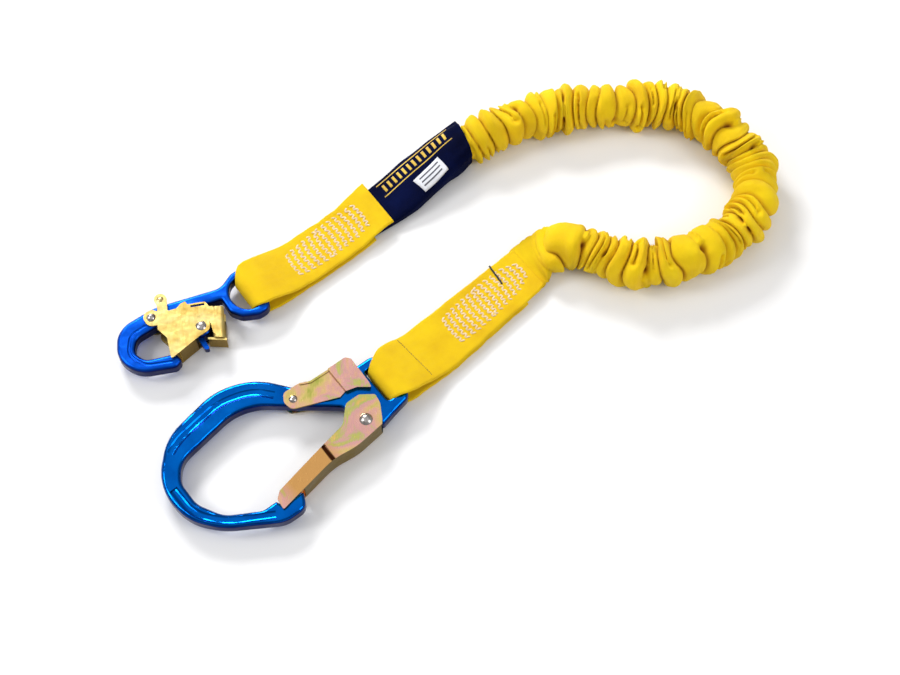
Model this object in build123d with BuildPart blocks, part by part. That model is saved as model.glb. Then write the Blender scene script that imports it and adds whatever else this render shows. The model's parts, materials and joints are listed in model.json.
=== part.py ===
"""Elastic shock absorbing lanyard with a snap hook and a rebar hook.

The lanyard lies on a flat surface at z = 0.  Each hook has its own local frame:
the origin is the middle of the far bar of its strap eye, local x runs from the
hook towards the strap and local y lies across the hook in the flat plane.
"""
from build123d import *
from math import cos, pi, radians, sin, tan
import os

# ---------------------------------------------------------------- driving sizes, mm
FRAME_SHIFT_X = 106.901     # moves the assembly so that the origin is under its middle
FRAME_SHIFT_Y = -13.712

HOOK_MID_Z = 12.5           # mid-plane of both hooks above the surface
SNAP_ORIGIN = (-179.2 + FRAME_SHIFT_X, 40.3 + FRAME_SHIFT_Y)
SNAP_ANGLE = 36.0
REBAR_ORIGIN = (-56.1 + FRAME_SHIFT_X, -49.5 + FRAME_SHIFT_Y)
REBAR_ANGLE = 38.0

BODY_HALF = 7.0             # half thickness of both forged bodies
BODY_ROUND = 3.6            # rounding of the forged outer edges
EYE_ROUND = 2.4             # rounding of the strap eyes
RUN_FIT = 0.05              # radial clearance of a rivet in the body it turns in
RIVET_FIT = 0.02            # radial clearance of a rivet in its own plates

BAR_CUT_BEYOND = 3.0        # the square side of an eye is cut this far past its bar
BAR_ROOT = 1.0              # the bar runs this far into the body at both ends
SNAP_BAR_R = 5.5
SNAP_GATE_PIVOT = (-58.5, -7.5)
SNAP_LOCK_PIVOT = (-90.0, 27.0)
SNAP_PIN = (-74.3, 37.0)
SNAP_PIN_R = 2.0
SNAP_LOCK_Z = (7.3, 8.7)    # the lock plates, above and below the mid-plane
SNAP_GATE_Z = (9.0, 10.5)   # the gate plates, outside the lock plates

REBAR_BAR_R = 6.0
REBAR_GATE_PIVOT = (-39.0, -23.0)
REBAR_LOCK_PIVOT = (-77.5, 32.0)
REBAR_GATE_Z = (7.5, 9.5)
REBAR_LOCK_Z = (7.3, 8.9)   # the narrow end of the lock lever
REBAR_STEP_Z = (9.8, 11.4)  # the raised end of the lock lever, over the gate

BEYOND = 5.0                # how far a cutting solid runs past the face it cuts

# Rivets: head radius and head height.
SNAP_GATE_HEAD = (4.8, 2.0)
SNAP_PIN_HEAD = (3.0, 0.9)
SNAP_LOCK_HEAD = (4.2, 2.6)
REBAR_GATE_HEAD = (5.8, 2.9)
REBAR_LOCK_HEAD = (3.8, 2.2)

# Torsion springs: coil radius, wire diameter, turns, leg length.
SPRING_SEAT = -BODY_HALF + 0.3
SNAP_GATE_COIL = (4.2, 1.0, 3.5, 2.2)
SNAP_LOCK_COIL = (4.2, 0.9, 3.5, 2.2)
REBAR_GATE_COIL = (4.9, 1.1, 3.2, 2.4)
REBAR_LOCK_COIL = (3.5, 0.8, 3.5, 1.6)
SPRING_PITCH = 1.12         # coil pitch over wire diameter

WEB_T = 2.9                 # thickness of one layer of webbing
WEB_GAP = 0.1
PAD_T = 1.2                 # wear pad between webbing and bar
PAD_GAP = 0.3
STACK_TOP = 3 * WEB_T + 2 * WEB_GAP

TUBE_D = 42.0
TUBE_BORE_D = 37.0
TUBE_Z = TUBE_D / 2 + 0.1
CORE_D = 12.0

# Route of the scrunched tubular jacket, from the cover to the rebar strap.
ROUTE = [
    (14, 199), (42, 216), (82, 231), (124, 241), (166, 241), (204, 245), (244, 227),
    (274, 198), (289, 160), (283, 122), (256, 92), (222, 74), (188, 63), (150, 68),
    (117, 86), (88, 84), (68, 66),
]
ARC_SHARE = 0.45            # share of the shorter run that each arc takes up
CORE_DROP = 8.0             # the core sits this much lower at both ends of the jacket


def flat_plane(origin, angle, z=HOOK_MID_Z):
    """A plane parallel to the surface, in a hook's local frame."""
    turn = radians(angle)
    return Plane((origin[0], origin[1], z), x_dir=(cos(turn), sin(turn), 0), z_dir=(0, 0, 1))


def side_plane(origin, angle):
    """A vertical plane along a hook's local x, with z = 0 on the surface."""
    turn = radians(angle)
    return Plane((origin[0], origin[1], 0), x_dir=(cos(turn), sin(turn), 0),
                 z_dir=(sin(turn), -cos(turn), 0))


SNAP = flat_plane(SNAP_ORIGIN, SNAP_ANGLE)
SNAP_SIDE = side_plane(SNAP_ORIGIN, SNAP_ANGLE)
REBAR = flat_plane(REBAR_ORIGIN, REBAR_ANGLE)
REBAR_SIDE = side_plane(REBAR_ORIGIN, REBAR_ANGLE)
PARTS = []


def keep(part, label):
    """Name a finished piece and write its STEP file."""
    part.label = label
    export_step(part, f"parts/{label}.step")
    PARTS.append(part)


def outline(plane, corners):
    """The closed face through (x, y, corner radius) corners on a plane."""
    with BuildSketch(plane) as face:
        with BuildLine():
            FilletPolyline(*[(x, y) for x, y, _ in corners],
                           radius=[r for _, _, r in corners], close=True)
        make_face()
    return face.sketch


def strip(plane, corners):
    """A face with sharp corners on a plane."""
    with BuildSketch(plane) as face:
        with BuildLine():
            Polyline(*corners, close=True)
        make_face()
    return face.sketch


def disc(plane, centre, radius):
    """A round face on a plane."""
    with BuildSketch(plane) as face:
        with Locations(centre):
            Circle(radius)
    return face.sketch


def slab(plane, corners, low, high, mode=Mode.ADD):
    """Extrude an outline between two heights, in the open part."""
    extrude(outline(plane.offset(low), corners), amount=high - low, mode=mode)


def post(plane, centre, radius, low, high, mode=Mode.ADD):
    """Extrude a disc between two heights, in the open part."""
    extrude(disc(plane.offset(low), centre, radius), amount=high - low, mode=mode)


def pair(plane, corners, heights, mode=Mode.ADD):
    """The same slab above and below the mid-plane, in the open part."""
    low, high = heights
    slab(plane, corners, low, high, mode)
    slab(plane, corners, -high, -low, mode)


def eye_edges(body):
    """The edges of the strap eye in both faces of a hook body."""
    loops = [loop for face in body.faces().filter_by(Axis.Z) for loop in face.inner_wires()]
    return ShapeList([edge for loop in loops for edge in loop.edges()])


def rivet(plane, centre, shank, shank_top, head_size):
    """A shank with a domed head on each end, in the open part."""
    head, head_height = head_size
    post(plane, centre, shank, -shank_top, shank_top)
    ball = (head * head + head_height * head_height) / (2 * head_height)
    for side in (1, -1):
        start = Plane(plane.from_local_coords(Vector(centre[0], centre[1], side * shank_top)),
                      x_dir=plane.x_dir, z_dir=plane.z_dir * side)
        upright = Plane(start.origin, x_dir=start.x_dir, z_dir=start.y_dir * -1)
        with BuildSketch(upright) as dome:
            with BuildLine():
                top = RadiusArc((0, head_height), (head, 0), ball)
                Line(top @ 1, (0, 0))
                Line((0, 0), top @ 0)
            make_face()
        revolve(dome.sketch, axis=Axis(start.origin, start.z_dir))


def rivet_holes(plane, centre, shank, heights):
    """Drill both plates of a pair for a rivet, in the open part."""
    low, high = heights
    post(plane, centre, shank + RIVET_FIT, low, high, Mode.SUBTRACT)
    post(plane, centre, shank + RIVET_FIT, -high, -low, Mode.SUBTRACT)


def bar(plane, x_low, y_low, y_high, radius):
    """Cut the square far side of an eye and fit a round bar along local y."""
    width = radius + BAR_CUT_BEYOND - x_low
    box = [(x_low, y_low), (x_low + width, y_low), (x_low + width, y_high), (x_low, y_high)]
    extrude(strip(plane, box), amount=2 * BODY_HALF, both=True, mode=Mode.SUBTRACT)
    across = Plane(plane.from_local_coords(Vector(0, y_low - BAR_ROOT, 0)), x_dir=plane.x_dir,
                   z_dir=plane.y_dir)
    extrude(disc(across, (0, 0), radius), amount=y_high - y_low + 2 * BAR_ROOT)


def torsion_spring(plane, centre, coil_size):
    """A close coil round a rivet with a straight leg, in the open part."""
    coil_radius, wire, turns, leg = coil_size
    base = Vector(centre[0], centre[1], SPRING_SEAT + wire / 2)
    seat = Plane(plane.from_local_coords(base), x_dir=plane.x_dir, z_dir=plane.z_dir)
    pitch = wire * SPRING_PITCH
    with BuildLine(seat) as coil:
        Helix(pitch, pitch * turns, coil_radius)
    start = coil.line @ 0
    heading = coil.line % 0
    sweep(disc(Plane(start, z_dir=heading), (0, 0), wire / 2), path=coil.line, is_frenet=True)
    extrude(disc(Plane(start, z_dir=heading * -1), (0, 0), wire / 2), amount=leg)


os.makedirs("parts", exist_ok=True)

# ---------------------------------------------------------------- snap hook body
SNAP_BODY = [
    (6, -25.5, 9), (6, 25.5, 9), (-8, 25.5, 14), (-23, 18.3, 16), (-82, 36, 60),
    (-121, 36, 24), (-136, 10, 26), (-128, -13, 28), (-97, -27.5, 6), (-89.2, -24.5, 4),
    (-90.5, -15.5, 4), (-115, -6, 10), (-121, 6, 11), (-111, 17.5, 11), (-76, 17.5, 10),
    (-66.7, 4, 8), (-66.7, -15.7, 8), (-50.3, -15.7, 8), (-49.3, 2, 12), (-46, 12, 4),
    (-28.6, 7.5, 3), (-29.3, -8, 10), (-23, -18, 10), (-9, -25.5, 9),
]
SNAP_EYE = [
    (-5.0, 18, 1), (-5.0, -18, 1), (-13, -18, 14), (-21.5, -7, 20), (-21.5, 7, 20), (-13, 18, 14),
]
SNAP_TANG = [(-66.3, -8, 1), (-67, -26, 1.5), (-63, -28.5, 1.5), (-61, -8, 1)]
SNAP_BAR_SPAN = (-5.2, -17.5, 17.5)     # far side of the eye, and both ends of its bar
TANG_HALF = 3.0
SNAP_SHANK_R = 2.5
SNAP_LOCK_SHANK_R = 2.0
SPRING_POCKET = 5.6         # depth of the spring pockets, from the lower face
SNAP_POCKET_R = 5.6
SNAP_RIM = [(-97, -21.5, 0), (-117.5, -11.5, 12), (-126.5, 6.5, 13), (-114, 23, 12), (-98, 23.5, 0)]
SNAP_RIM_CUT = (1.8, 0.9)   # radius and depth of the line round the inside of the bow


def channel(plane, route, cut):
    """A round-bottomed channel along a route in both faces of a hook, cut from the open part."""
    radius, depth = cut
    for height in (BODY_HALF - depth + radius, -BODY_HALF + depth - radius):
        with BuildLine(plane.offset(height)) as middle:
            FilletPolyline(*[(x, y) for x, y, _ in route], radius=[r for _, _, r in route[1:-1]])
        section = Plane(middle.line @ 0, z_dir=middle.line % 0)
        sweep(disc(section, (0, 0), radius), path=middle.line, mode=Mode.SUBTRACT)


with BuildPart() as snap_hook_body:
    slab(SNAP, SNAP_BODY, -BODY_HALF, BODY_HALF)
    fillet(snap_hook_body.faces().filter_by(Axis.Z).edges(), BODY_ROUND)
    slab(SNAP, SNAP_EYE, -BODY_HALF, BODY_HALF, Mode.SUBTRACT)
    fillet(eye_edges(snap_hook_body), EYE_ROUND)
    bar(SNAP, *SNAP_BAR_SPAN, SNAP_BAR_R)
    slab(SNAP, SNAP_TANG, -TANG_HALF, TANG_HALF)
    channel(SNAP, SNAP_RIM, SNAP_RIM_CUT)
    post(SNAP, SNAP_GATE_PIVOT, SNAP_SHANK_R + RUN_FIT, -BODY_HALF, BODY_HALF, Mode.SUBTRACT)
    post(SNAP, SNAP_LOCK_PIVOT, SNAP_LOCK_SHANK_R + RUN_FIT, -BODY_HALF, BODY_HALF, Mode.SUBTRACT)
    for pivot in (SNAP_GATE_PIVOT, SNAP_LOCK_PIVOT):
        post(SNAP, pivot, SNAP_POCKET_R, -BODY_HALF, -BODY_HALF + SPRING_POCKET, Mode.SUBTRACT)
keep(snap_hook_body.part, "snap_hook_body")

# ---------------------------------------------------------------- snap gate
SNAP_GATE = [
    (-79.6, 42.8, 5.5), (-68.6, 42.8, 5.5), (-68.6, 35, 3), (-75, 23, 1.5), (-67, 20.5, 3),
    (-62, 22.5, 3), (-57, 22.5, 1.2), (-56.4, 8, 6), (-50.5, -4, 6), (-50.5, -15.5, 7.6),
    (-64.5, -15.5, 3), (-97.2, -20.3, 1.2), (-89.3, 0, 6), (-91.8, 12, 3), (-79.6, 33.5, 8),
]
SNAP_GATE_WEB = [
    (-69, -16.16, 0.3), (-87, -18.8, 0.3), (-87, -17.28, 0.3), (-69, -14.64, 0.3),
]
with BuildPart() as snap_gate:
    pair(SNAP, SNAP_GATE, SNAP_GATE_Z)
    slab(SNAP, SNAP_GATE_WEB, -SNAP_GATE_Z[1], SNAP_GATE_Z[1])
    rivet_holes(SNAP, SNAP_GATE_PIVOT, SNAP_SHANK_R, SNAP_GATE_Z)
    rivet_holes(SNAP, SNAP_PIN, SNAP_PIN_R, SNAP_GATE_Z)
keep(snap_gate.part, "snap_gate")

with BuildPart() as snap_gate_rivet:
    rivet(SNAP, SNAP_GATE_PIVOT, SNAP_SHANK_R, SNAP_GATE_Z[1], SNAP_GATE_HEAD)
keep(snap_gate_rivet.part, "snap_gate_rivet")

with BuildPart() as snap_gate_cross_pin:
    rivet(SNAP, SNAP_PIN, SNAP_PIN_R, SNAP_GATE_Z[1], SNAP_PIN_HEAD)
keep(snap_gate_cross_pin.part, "snap_gate_cross_pin")

with BuildPart() as snap_gate_spring:
    torsion_spring(SNAP, SNAP_GATE_PIVOT, SNAP_GATE_COIL)
keep(snap_gate_spring.part, "snap_gate_spring")

# ---------------------------------------------------------------- snap lock lever
SNAP_LOCK = [
    (-96.6, 20.5, 6), (-96.6, 33.8, 6), (-83.4, 33.8, 6), (-81.5, 22.5, 4), (-57.5, 19.8, 1),
    (-42.3, 12.6, 1.2), (-41.8, 6, 1.5), (-39, 4.5, 1.5), (-46, -22, 3), (-54, -22, 3),
    (-49.3, -8, 6), (-56, 3.5, 8), (-84, 14, 6),
]
SNAP_SLOT = [(-55.7, 17.2, 0.6), (-43.6, 11.5, 0.6), (-44.4, 9.5, 0.6), (-55.7, 14.8, 0.6)]
PAD_CORNERS = [(-40.6, 5.3), (-30.0, -1.7), (-46.0, -29.7), (-56.0, -21.7)]
PAD_WEB_FROM = 0.46         # the pad reaches across the body only past this share of it
PAD_ROUND = 4.5             # rounding of the long edges of the pad
PAD_CUT_FROM = -0.3         # the hollow of the pad starts this share beyond its upper end
FLANGE_TO = 1.07            # the end flange reaches this share of the pad's length
FLANGE_SIDE = -0.3          # and starts this share of the pad's width outside it
FLANGE_INSET = 1.5          # and is this much lower than the pad


def along(start, end, share):
    """A point between two points of a plan."""
    return (start[0] + (end[0] - start[0]) * share, start[1] + (end[1] - start[1]) * share)


upper_left, upper_right, lower_right, lower_left = PAD_CORNERS
web_left = along(upper_left, lower_left, PAD_WEB_FROM)
web_right = along(upper_right, lower_right, PAD_WEB_FROM)
pad_clear = [
    along(upper_left, lower_left, PAD_CUT_FROM), along(upper_right, lower_right, PAD_CUT_FROM),
    web_right, web_left,
]
flange_left = along(upper_left, lower_left, FLANGE_TO)
flange_right = along(upper_right, lower_right, FLANGE_TO)
flange = [
    (*along(lower_left, lower_right, FLANGE_SIDE), 0.5), (*lower_right, 0.3),
    (*flange_right, 0.3), (*along(flange_left, flange_right, FLANGE_SIDE), 0.5),
]
with BuildPart() as snap_lock_lever:
    extrude(strip(SNAP.offset(-SNAP_LOCK_Z[1]), PAD_CORNERS), amount=2 * SNAP_LOCK_Z[1])
    pad_length = Vector(lower_right[0] - upper_right[0], lower_right[1] - upper_right[1], 0)
    pad_heading = (SNAP.from_local_coords(pad_length) - SNAP.origin).normalized()
    pad_edges = snap_lock_lever.faces().filter_by(Axis.Z).edges().filter_by(
        lambda e: e.length > 20 and abs((e % 0.5).dot(pad_heading)) > 0.9)
    fillet(pad_edges, PAD_ROUND)
    extrude(strip(SNAP, pad_clear), amount=SNAP_LOCK_Z[0], both=True, mode=Mode.SUBTRACT)
    slab(SNAP, flange, -SNAP_LOCK_Z[1] + FLANGE_INSET, SNAP_LOCK_Z[1] - FLANGE_INSET)
    pair(SNAP, SNAP_LOCK, SNAP_LOCK_Z)
    pair(SNAP, SNAP_SLOT, SNAP_LOCK_Z, Mode.SUBTRACT)
    rivet_holes(SNAP, SNAP_LOCK_PIVOT, SNAP_LOCK_SHANK_R, SNAP_LOCK_Z)
keep(snap_lock_lever.part, "snap_lock_lever")

with BuildPart() as snap_lock_rivet:
    rivet(SNAP, SNAP_LOCK_PIVOT, SNAP_LOCK_SHANK_R, SNAP_LOCK_Z[1], SNAP_LOCK_HEAD)
keep(snap_lock_rivet.part, "snap_lock_rivet")

with BuildPart() as snap_lock_spring:
    torsion_spring(SNAP, SNAP_LOCK_PIVOT, SNAP_LOCK_COIL)
keep(snap_lock_spring.part, "snap_lock_spring")

# ---------------------------------------------------------------- rebar hook body
REBAR_BODY = [
    (7, -26.5, 8), (7, 25.5, 9), (-15, 25.5, 7), (-26, 20.5, 8), (-64, 34.5, 14), (-92, 71.5, 60),
    (-128, 82.5, 60), (-184, 71, 50), (-215, 38, 50), (-213, -5, 50), (-192, -29, 60),
    (-148, -56.5, 26), (-126.5, -56.5, 10), (-119.9, -42.3, 1.5), (-141, -42.3, 2),
    (-143.5, -36, 1.5), (-157, -36.2, 12), (-185.5, -19.7, 26), (-198, 3.2, 24), (-198, 28.5, 21),
    (-186, 44.3, 24), (-116, 56.5, 50), (-47, 1, 6), (-48.2, -32.2, 9), (-31, -32.2, 1.5),
    (-28.5, -34.5, 2), (-10, -30, 20),
]
REBAR_EYE = [(-4.0, 16.5, 3.5), (-4.0, -19.5, 3.5), (-12.5, -19.5, 3.5), (-12.5, 16.5, 3.5)]
REBAR_BAR_SPAN = (-5.7, -19.5, 16.5)
REBAR_GROOVE_CUT = (5.2, 1.6)   # radius and depth of the grooves of the bow
REBAR_GROOVES = [
    [(-190, 55, 0), (-178, 61.5, 60), (-130, 69.5, 60), (-101, 61, 40), (-88, 46, 0)],
    [(-206.5, 26, 0), (-206, -3, 40), (-188.5, -25, 60), (-151, -46.5, 0)],
]
REBAR_SHANK_R = 3.0
REBAR_LOCK_SHANK_R = 2.0
REBAR_POCKETS = [(REBAR_GATE_PIVOT, 6.4), (REBAR_LOCK_PIVOT, 4.6)]   # centre and radius


with BuildPart() as rebar_hook_body:
    slab(REBAR, REBAR_BODY, -BODY_HALF, BODY_HALF)
    fillet(rebar_hook_body.faces().filter_by(Axis.Z).edges(), BODY_ROUND)
    slab(REBAR, REBAR_EYE, -BODY_HALF, BODY_HALF, Mode.SUBTRACT)
    fillet(eye_edges(rebar_hook_body), EYE_ROUND)
    bar(REBAR, *REBAR_BAR_SPAN, REBAR_BAR_R)
    for route in REBAR_GROOVES:
        channel(REBAR, route, REBAR_GROOVE_CUT)
    post(REBAR, REBAR_GATE_PIVOT, REBAR_SHANK_R + RUN_FIT, -BODY_HALF, BODY_HALF, Mode.SUBTRACT)
    post(REBAR, REBAR_LOCK_PIVOT, REBAR_LOCK_SHANK_R + RUN_FIT, -BODY_HALF, BODY_HALF,
         Mode.SUBTRACT)
    for pivot, radius in REBAR_POCKETS:
        post(REBAR, pivot, radius, -BODY_HALF, -BODY_HALF + SPRING_POCKET, Mode.SUBTRACT)
keep(rebar_hook_body.part, "rebar_hook_body")

# ---------------------------------------------------------------- rebar gate
REBAR_GATE = [
    (-50.5, -7, 5), (-44, 0, 7), (-30, 0, 5), (-18.3, -8.5, 3), (-20, -18, 10), (-27.5, -31, 2),
    (-30.5, -35, 1), (-60, -38.8, 60), (-84, -36, 60), (-143.5, -47.5, 1), (-142.5, -37, 2),
    (-136.5, -31.5, 3), (-85, -20.3, 40), (-58, -15, 12),
]
REBAR_GATE_WEB = [
    (-31.5, -35.2, 0.4), (-60, -38.8, 60), (-84, -36, 60), (-118.5, -42.73, 0.4),
    (-118.5, -40.93, 0.4), (-84, -34.2, 60), (-60, -37.0, 60), (-31.5, -33.4, 0.4),
]
REBAR_FOLD = [(-86.5, -35.9, 0.3), (-85, -21.4, 0.3), (-81.0, -20.6, 0.3), (-82, -36.0, 0.3)]
FOLD_DEPTH = 1.2
with BuildPart() as rebar_gate:
    pair(REBAR, REBAR_GATE, REBAR_GATE_Z)
    slab(REBAR, REBAR_GATE_WEB, -REBAR_GATE_Z[1], REBAR_GATE_Z[1])
    pair(REBAR, REBAR_FOLD, (REBAR_GATE_Z[1] - FOLD_DEPTH, REBAR_GATE_Z[1] + BEYOND), Mode.SUBTRACT)
    rivet_holes(REBAR, REBAR_GATE_PIVOT, REBAR_SHANK_R, REBAR_GATE_Z)
keep(rebar_gate.part, "rebar_gate")

with BuildPart() as rebar_gate_rivet:
    rivet(REBAR, REBAR_GATE_PIVOT, REBAR_SHANK_R, REBAR_GATE_Z[1], REBAR_GATE_HEAD)
keep(rebar_gate_rivet.part, "rebar_gate_rivet")

with BuildPart() as rebar_gate_spring:
    torsion_spring(REBAR, REBAR_GATE_PIVOT, REBAR_GATE_COIL)
keep(rebar_gate_spring.part, "rebar_gate_spring")

# ---------------------------------------------------------------- rebar lock lever
REBAR_LOCK = [
    (-86, 34, 7), (-81, 42, 5), (-66, 41.5, 4), (-56, 36.6, 12), (-35, 36, 0.5), (-35, 10.5, 0.5),
    (-44, 8.2, 1), (-84, 24.5, 7),
]
REBAR_LOCK_UNDER = [
    (-85, 34.5, 5), (-81, 42, 5), (-66, 41.5, 4), (-56, 36.6, 12), (-35, 36, 0.5), (-35, 10.5, 0.5),
    (-44, 8.2, 1), (-84, 29.3, 4.5),
]
REBAR_STEP = [
    (-37, 36.2, 0.5), (-18.5, 36.2, 3.5), (-14.8, 32, 3.5), (-16, 4, 3), (-17.3, -1.6, 0.8),
    (-27, 6, 3), (-37, 8.8, 0.5),
]
REBAR_JOGGLE = [(-37, 36.2, 0.3), (-35, 36.2, 0.3), (-35, 9.2, 0.3), (-37, 8.8, 0.3)]
REBAR_LOCK_WEB = [(-56, 36.9, 4), (-37, 36.2, 20), (-20, 36.2, 0.4), (-20, 34.4, 0.4),
                  (-37, 34.4, 20), (-56, 35.0, 4), (-65, 39.4, 0.4), (-65, 41.2, 0.4)]
REBAR_LIP = [(-36.9, 8.9, 0.3), (-27, 6.1, 2), (-17.6, -1.3, 0.3), (-16.6, 0.2, 0.3), (-26.4, 7.9, 2),
             (-36.9, 10.8, 0.3)]
with BuildPart() as rebar_lock_lever:
    slab(REBAR, REBAR_LOCK, *REBAR_LOCK_Z)
    slab(REBAR, REBAR_LOCK_UNDER, -REBAR_LOCK_Z[1], -REBAR_LOCK_Z[0])
    pair(REBAR, REBAR_STEP, REBAR_STEP_Z)
    pair(REBAR, REBAR_JOGGLE, (REBAR_LOCK_Z[0], REBAR_STEP_Z[1]))
    pair(REBAR, REBAR_LIP, (REBAR_LOCK_Z[0], REBAR_STEP_Z[1]))
    slab(REBAR, REBAR_LOCK_WEB, -REBAR_STEP_Z[0], REBAR_STEP_Z[0])
    rivet_holes(REBAR, REBAR_LOCK_PIVOT, REBAR_LOCK_SHANK_R, REBAR_LOCK_Z)
keep(rebar_lock_lever.part, "rebar_lock_lever")

with BuildPart() as rebar_lock_rivet:
    rivet(REBAR, REBAR_LOCK_PIVOT, REBAR_LOCK_SHANK_R, REBAR_LOCK_Z[1], REBAR_LOCK_HEAD)
keep(rebar_lock_rivet.part, "rebar_lock_rivet")

with BuildPart() as rebar_lock_spring:
    torsion_spring(REBAR, REBAR_LOCK_PIVOT, REBAR_LOCK_COIL)
keep(rebar_lock_spring.part, "rebar_lock_spring")

# ---------------------------------------------------------------- webbing at both hooks
# Heights above the surface; plans are in the hook's local frame.
LEG_FROM = 46.0             # the two legs of the loop lie flat on each other from here
SNAP_LEG_TO = 112.0         # from here the upper leg climbs over the cover
REBAR_LEG_TO = 150.0
SNAP_STRAP_PLAN = [
    (-14, 13.5, 2), (-14, -16.3, 2), (9.5, -16.5, 3), (15, -22.5, 5), (100, -18.5, 60),
    (144.5, -12.5, 1), (149, 40.5, 1), (100, 31, 60), (15, 28, 5), (9.5, 14, 3),
]
REBAR_STRAP_PLAN = [
    (-14, 14.5, 2), (-14, -18.3, 2), (10, -18.5, 3), (16, -26, 5), (60, -24.5, 60),
    (148, -14, 1), (152, 36.5, 1), (100, 33, 60), (16, 27.5, 5), (10, 14.8, 3),
]


def fold_profile(plane, reach, end, height):
    """The side view of a strap folded round a bar and tapering to its legs, filled solid."""
    with BuildSketch(plane) as fold:
        with Locations((0, HOOK_MID_Z)):
            Circle(reach)
        with Locations((end - 1, STACK_TOP / 2)):
            Rectangle(2, height)
        make_hull()
    return fold.sketch


def rectangle(low_x, high_x, low_z, high_z):
    """The corners of an upright rectangle in a side view."""
    return [(low_x, low_z), (high_x, low_z), (high_x, high_z), (low_x, high_z)]


def cut_plan(plane, corners):
    """Keep of the open part only what lies inside a plan."""
    extrude(outline(plane, corners), amount=PLAN_REACH, both=True, mode=Mode.INTERSECT)


def strap_loop(side, flat, bar_radius, leg_to, plan, climb):
    """One webbing band folded round the eye bar, open between its legs."""
    inner = bar_radius + PAD_GAP + PAD_T + PAD_GAP
    legs = strip(side, rectangle(LEG_FROM - BEYOND, leg_to, 0, STACK_TOP))
    between = strip(side, rectangle(LEG_FROM - BEYOND, leg_to + 1, WEB_T, STACK_TOP - WEB_T))
    with BuildPart() as loop:
        extrude(fold_profile(side, inner + WEB_T, LEG_FROM, STACK_TOP), amount=SIDE_REACH, both=True)
        extrude(legs, amount=SIDE_REACH, both=True)
        for corners in climb:
            extrude(strip(side, corners), amount=SIDE_REACH, both=True)
        extrude(fold_profile(side, inner, LEG_FROM - 3, STACK_TOP - 2 * WEB_T), amount=SIDE_REACH,
                both=True, mode=Mode.SUBTRACT)
        extrude(between, amount=SIDE_REACH, both=True, mode=Mode.SUBTRACT)
        cut_plan(flat, plan)
    return loop


SIDE_REACH = 60.0           # side views are extruded this far both ways before the plan cut
PLAN_REACH = 60.0
COVER_TOP = STACK_TOP       # height of the thin end of the cover, under the strap end
CLIMB_TO = 124.0
SNAP_END = 152.0
climbing = [
    [(SNAP_LEG_TO - 1, STACK_TOP - WEB_T), (SNAP_LEG_TO - 1, STACK_TOP),
     (CLIMB_TO, COVER_TOP + WEB_T + WEB_GAP), (SNAP_END, COVER_TOP + WEB_T + WEB_GAP),
     (SNAP_END, COVER_TOP + WEB_GAP), (CLIMB_TO, COVER_TOP + WEB_GAP)],
]
snap_strap_loop = strap_loop(SNAP_SIDE, SNAP, SNAP_BAR_R, SNAP_LEG_TO, SNAP_STRAP_PLAN, climbing)
keep(snap_strap_loop.part, "snap_strap_loop")
rebar_strap_loop = strap_loop(REBAR_SIDE, REBAR, REBAR_BAR_R, REBAR_LEG_TO, REBAR_STRAP_PLAN, [])
keep(rebar_strap_loop.part, "rebar_strap_loop")

PAD_REACH = 20.0            # the wear pad ends this far along the strap
PAD_DIP = 3.9               # its end sinks towards the flat strap
PAD_NARROWING = 4.2
SNAP_PAD_PLAN = [(-13, 13, 2), (-13, -15.6, 2), (PAD_REACH, -15.8, 1), (PAD_REACH, 13.2, 1)]
REBAR_PAD_PLAN = [(-13, 14, 2), (-13, -18, 2), (PAD_REACH, -18.3, 1), (PAD_REACH, 14.3, 1)]


def wear_pad(side, flat, bar_radius, plan):
    """A thin tube of webbing round the bar, closed towards the strap."""
    inner = bar_radius + PAD_GAP
    with BuildPart() as pad:
        for reach, mode in ((inner + PAD_T, Mode.ADD), (inner, Mode.SUBTRACT)):
            with BuildSketch(side) as ring:
                with Locations((0, HOOK_MID_Z)):
                    Circle(reach)
                with Locations((PAD_REACH - 2, HOOK_MID_Z - PAD_DIP)):
                    Circle(reach - PAD_NARROWING)
                make_hull()
            extrude(ring.sketch, amount=SIDE_REACH, both=True, mode=mode)
        cut_plan(flat, plan)
    return pad


snap_wear_pad = wear_pad(SNAP_SIDE, SNAP, SNAP_BAR_R, SNAP_PAD_PLAN)
keep(snap_wear_pad.part, "snap_wear_pad")
rebar_wear_pad = wear_pad(REBAR_SIDE, REBAR, REBAR_BAR_R, REBAR_PAD_PLAN)
keep(rebar_wear_pad.part, "rebar_wear_pad")

# ---------------------------------------------------------------- cover and flat core ends
COVER_FROM = 126.0
COVER_TO = 249.0
COVER_WALL = 1.5
COVER_END_TOP = 27.0
COVER_PLAN = [
    (COVER_FROM, -17, 1), (144, -15.5, 40), (COVER_TO - 5, -6.0, 2), (COVER_TO + 5, 36.5, 2),
    (150, 33, 40), (COVER_FROM, 31.5, 1),
]
COVER_CAVITY_PLAN = [
    (COVER_FROM - 3, -15.5, 1), (144, -14, 40), (COVER_TO + 3, -3.6, 1), (COVER_TO + 12, 34.5, 1),
    (150, 31.5, 40), (COVER_FROM - 3, 30, 1),
]
cover_side = [
    (COVER_FROM, 0), (COVER_TO + 8, 0), (COVER_TO + 8, COVER_END_TOP), (205, 23), (165, 14),
    (152, COVER_TOP), (COVER_FROM, COVER_TOP),
]
cavity_side = [
    (COVER_FROM - 5, COVER_WALL), (COVER_TO + 20, COVER_WALL),
    (COVER_TO + 20, COVER_END_TOP - COVER_WALL), (205, 23 - COVER_WALL), (165, 14 - COVER_WALL),
    (152, COVER_TOP - COVER_WALL), (COVER_FROM - 5, COVER_TOP - COVER_WALL),
]
TRIM_SIZE = 300.0           # larger than every piece that ends at the jacket
tube_start_plane = Plane((ROUTE[0][0] + FRAME_SHIFT_X, ROUTE[0][1] + FRAME_SHIFT_Y, 0),
                         z_dir=(ROUTE[1][0] - ROUTE[0][0], ROUTE[1][1] - ROUTE[0][1], 0))
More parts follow.
